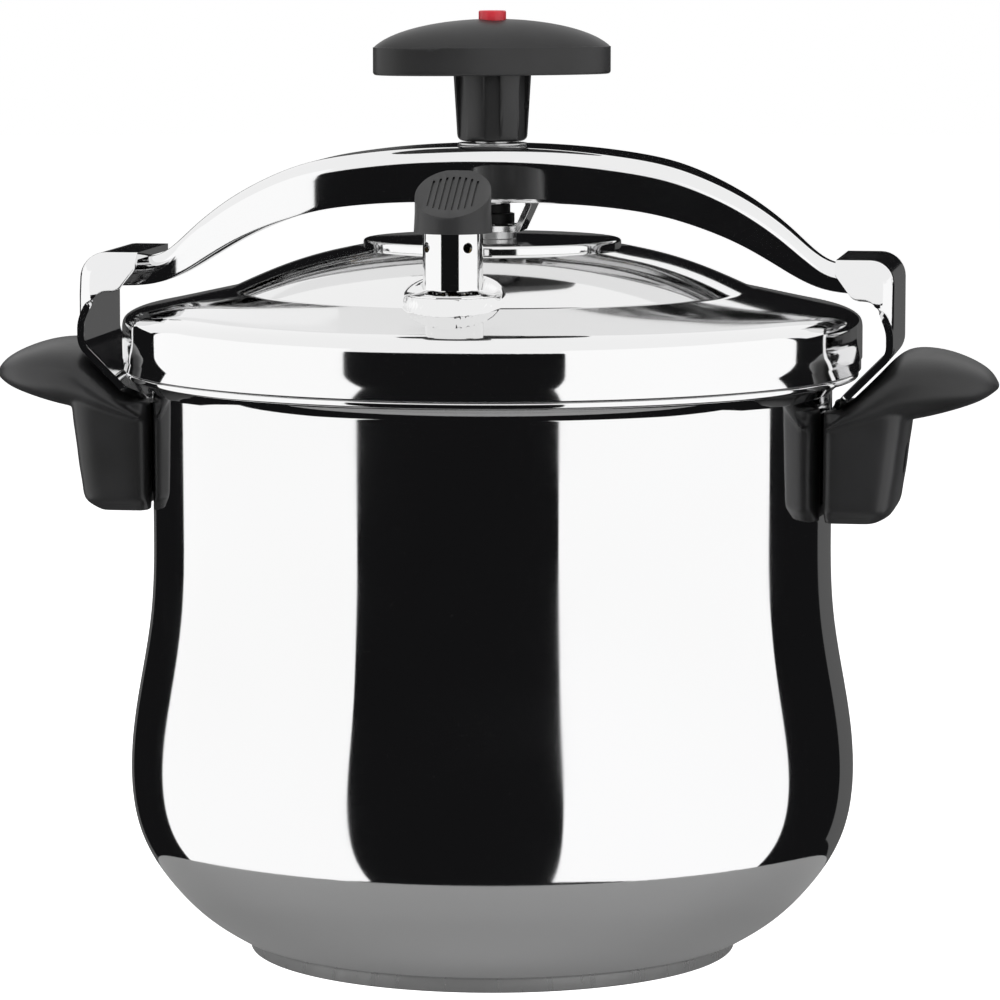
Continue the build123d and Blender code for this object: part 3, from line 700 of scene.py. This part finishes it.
def wing_grid():
    """Sections across the wing, from its root to its tip; the plan is half an ellipse."""
    x = ROOT_X + (TIP_X - ROOT_X) * np.sin(np.linspace(0, pi / 2, 70))
    top, low = smooth_line(WING_TOP, 300), smooth_line(WING_LOW, 300)
    high_z, low_z = np.interp(x, top[:, 0], top[:, 1])[:, None], np.interp(x, low[:, 0], low[:, 1])[:, None]
    wide = WING_HALF * np.sqrt(np.clip(1 - (np.clip(x - 125, 0, 42) / 42.2) ** 2, 0, 1))[:, None]
    c, d = rounded(np.linspace(0, 2 * pi, 97)[None], 2.5)
    y, z = wide * c, (high_z + low_z) / 2 + (high_z - low_z) / 2 * d
    return capped(np.stack([np.broadcast_to(x[:, None], y.shape), y, z], axis=2))


def skirt_grid():
    """Level sections of the skirt; the inner side follows the pot and steps clear of the tab."""
    out = smooth_line(SKIRT_OUT, 60)
    x_out, z = out[:, 0:1], out[:, 1:2]
    c, d = rounded(np.linspace(0, 2 * pi, 193)[None], 5.0)
    rise = smooth_step((z - SKIRT_FOOT) / 5.0)
    y = (SKIRT_HALF - 4.0 * (1 - rise)) * d
    inner = np.where(np.abs(y) < 14.8, 115.4, np.sqrt(POT_CLEAR ** 2 - y ** 2))
    x = inner + (x_out - inner) * (c + 1) / 2
    return capped(np.stack([x, y, z + 0 * y], axis=2))


print("wing sections", len(wing_grid()), "skirt sections", len(skirt_grid()))


# %% Merge, relax and drill each grip
def evaluated_mesh(piece):
    """The piece's mesh with its modifiers applied."""
    bpy.context.view_layer.update()
    return bpy.data.meshes.new_from_object(piece.evaluated_get(bpy.context.evaluated_depsgraph_get()))


def add_grip(name, node, side, cell=0.8):
    """A grip on one side: sections merged into cells, relaxed, and drilled for its screw."""
    mirror = np.array([side, 1, 1])
    mesh = mesh_from_grids(name, [wing_grid() * mirror, skirt_grid() * mirror], 60)
    piece = add_piece(name, mesh, "pot", PHENOLIC, [node])
    cells = piece.modifiers.new("cells", "REMESH")
    cells.mode, cells.voxel_size = "VOXEL", cell * MM
    relax = piece.modifiers.new("relax", "SMOOTH")
    relax.factor, relax.iterations = 0.6, 6
    turn = np.linspace(0, 2 * pi, 65)
    ring = np.stack([0 * turn, RECESS_R * np.cos(turn), STUD_Z + RECESS_R * np.sin(turn)], axis=1)
    drill = capped(np.stack([ring + [129.4, 0, 0], ring + [145.0, 0, 0]])) * mirror
    tool = bpy.data.objects.new("drill", mesh_from_grids("drill", [drill], 60))
    bpy.context.scene.collection.objects.link(tool)
    cut = piece.modifiers.new("screw_recess", "BOOLEAN")
    cut.object, cut.operation, cut.solver = tool, "DIFFERENCE", "EXACT"
    piece.data = evaluated_mesh(piece)
    piece.modifiers.clear()
    bpy.data.objects.remove(tool)
    piece.data.polygons.foreach_set("use_smooth", np.ones(len(piece.data.polygons), dtype=bool))
    piece.data.set_sharp_from_angle(angle=radians(55))
    print(piece.name, "cells:", len(piece.data.polygons))


add_grip("left_grip", "left_handle", -1)
add_grip("right_grip", "right_handle", 1)

# %% [markdown]
# ## The studio
# A mirror shows the room, so the room is what shapes the look: two tall white walls left and right with
# a dark gap behind the camera, and a white ceiling that ends low at the back. They are seen only in
# reflections. Soft lamps, which reflections don't show, light the black and the coloured pieces.

# %% Cards that only reflections see
def card(name, grid, strength):
    """A white card shown to glossy rays only, from a grid of points in metres."""
    mesh = mesh_from_grids(name, [grid / MM], 180, outward=False)
    thing = bpy.data.objects.new(name, mesh)
    bpy.context.scene.collection.objects.link(thing)
    glow = bpy.data.materials.new(name)
    glow.use_nodes = True
    glow.node_tree.nodes.clear()
    emit = glow.node_tree.nodes.new("ShaderNodeEmission")
    emit.inputs["Strength"].default_value = strength
    out = glow.node_tree.nodes.new("ShaderNodeOutputMaterial")
    glow.node_tree.links.new(emit.outputs[0], out.inputs["Surface"])
    glow.cycles.emission_sampling = "NONE"
    mesh.materials.append(glow)
    thing.visible_camera = thing.visible_diffuse = thing.visible_shadow = False
    thing.visible_transmission = thing.visible_volume_scatter = False
    return thing


def wall_card(name, start, end, bottom, top, radius, strength):
    """Part of an upright cylinder between two bearings from the front, in degrees."""
    bearing = np.radians(np.linspace(start, end, 33))[None]
    height = np.linspace(bottom, top, 3)[:, None]
    x, y = radius * np.sin(bearing), -radius * np.cos(bearing)
    grid = np.stack([np.broadcast_to(x, (3, 33)), np.broadcast_to(y, (3, 33)),
                     np.broadcast_to(height, (3, 33))], axis=2)
    return card(name, grid, strength)


def ceiling_card(name, front, back, half_width, radius, strength):
    """Part of a ball overhead, swept from a front elevation over the top to a back one."""
    rise = np.radians(np.linspace(front, 180 - back, 33))[:, None]
    side = np.radians(np.linspace(-half_width, half_width, 33))[None]
    x = radius * np.sin(side) * np.ones_like(rise)
    y = -radius * np.cos(rise) * np.cos(side)
    z = radius * np.sin(rise) * np.cos(side)
    return card(name, np.stack([x, y, z + 0.15], axis=2), strength)


wall_card("left_card", -35, -115, -1.2, 1.6, 1.5, 1.12)
wall_card("right_card", 30, 112, -1.2, 1.6, 1.5, 1.12)
ceiling_card("ceiling_card", 14, 18, 60, 1.7, 1.0)
wall_card("back_card", 150, 210, -0.6, 0.3, 1.9, 0.10)
print("cards:", 4)

# %% Soft lamps
def lamp(name, place, aim, width, power):
    """A soft square lamp that reflections don't show."""
    light = bpy.data.lights.new(name, "AREA")
    light.shape = "SQUARE"
    light.size = width
    light.energy = power
    thing = bpy.data.objects.new(name, light)
    bpy.context.scene.collection.objects.link(thing)
    thing.location = place
    thing.rotation_euler = (Vector(place) - Vector(aim)).to_track_quat("Z", "Y").to_euler()
    thing.visible_glossy = False
    return thing


lamp("left_lamp", (-1.1, -1.0, 0.9), (0, 0, 0.18), 0.9, 9)
lamp("right_lamp", (1.2, -0.7, 0.8), (0, 0, 0.18), 0.9, 7)
lamp("top_lamp", (0, 0.3, 1.6), (0, 0, 0.2), 1.2, 11)
print("lamps:", len(bpy.data.lights))


# %% The floor, and a darker disc of painted shade that only reflections see

def plain_paint(name, grey, glow=0.0):
    """A plain matt paint for the stage."""
    material, tree, shader = new_material(name, Roughness=0.8)
    shader.inputs["Base Color"].default_value = (grey, grey, grey, 1)
    shader.inputs["Specular IOR Level"].default_value = 0.0
    shader.inputs["Emission Color"].default_value = (1, 1, 1, 1)
    shader.inputs["Emission Strength"].default_value = glow
    return material


def floor_disc(name, radius, height, material, glossy):
    """A flat round floor as a fan of points."""
    angle = np.linspace(0, 2 * pi, 97)
    reach = np.array([0.0, radius / 2, radius])[:, None]
    grid = np.stack([reach * np.cos(angle), reach * np.sin(angle), np.full((3, 97), height)], axis=2)
    mesh = mesh_from_grids(name, [grid / MM], 180, outward=False)
    face_from(mesh, Vector((0, 0, -1)))
    thing = bpy.data.objects.new(name, mesh)
    bpy.context.scene.collection.objects.link(thing)
    mesh.materials.append(material)
    thing.visible_glossy = glossy
    return thing


floor_disc("floor", 6.0, -0.0012, plain_paint("floor_paint", 0.86, 1.0), False)
# A grey disc that only reflections see: painted shade on the floor round the pot, darker than the white
# floor the camera sees, with a faint painted glow.
shaded_floor_for_reflections = floor_disc("shaded_floor_for_reflections", 0.16, -0.0006, plain_paint("painted_shade_floor_paint", 0.33, 0.13), True)
shaded_floor_for_reflections.visible_camera = False
print("near floor height", round(shaded_floor_for_reflections.data.vertices[0].co.z, 4))

# %% The world: white to the camera, nearly black to everything else
world = bpy.data.worlds.new("studio")
bpy.context.scene.world = world
world.use_nodes = True
tree = world.node_tree
tree.nodes.clear()
path = tree.nodes.new("ShaderNodeLightPath")
seen = tree.nodes.new("ShaderNodeBackground")
seen.inputs["Strength"].default_value = 1.0
seen.inputs["Color"].default_value = (1, 1, 1, 1)
dim = tree.nodes.new("ShaderNodeBackground")
dim.inputs["Color"].default_value = (0.007, 0.007, 0.0075, 1)
mix = tree.nodes.new("ShaderNodeMixShader")
out = tree.nodes.new("ShaderNodeOutputWorld")
tree.links.new(path.outputs["Is Camera Ray"], mix.inputs["Fac"])
tree.links.new(dim.outputs[0], mix.inputs[1])
tree.links.new(seen.outputs[0], mix.inputs[2])
tree.links.new(mix.outputs[0], out.inputs["Surface"])
bpy.context.scene.view_settings.view_transform = "Standard"
print("world:", world.name)

# %% [markdown]
# ## The camera
# A long lens stands a little to the right of the front and a little above the rim, so the dome shows
# as a thin ellipse and the uprights stay upright.

# %% Place the camera
BEARING, REACH, HEIGHT = radians(9.0), 1.648, 0.344
eye = Vector((REACH * sin(BEARING), -REACH * cos(BEARING), HEIGHT))
aim = Vector((0.0025 * cos(BEARING), 0.0025 * sin(BEARING), 0.1487))
lens = bpy.data.cameras.new("camera")
lens.lens = 180.5
lens.sensor_width = 36
lens.clip_end = 50
camera = bpy.data.objects.new("camera", lens)
bpy.context.scene.collection.objects.link(camera)
camera.location = eye
camera.rotation_euler = (eye - aim).to_track_quat("Z", "Y").to_euler()
bpy.context.scene.camera = camera
print("camera at", tuple(round(v, 3) for v in eye))
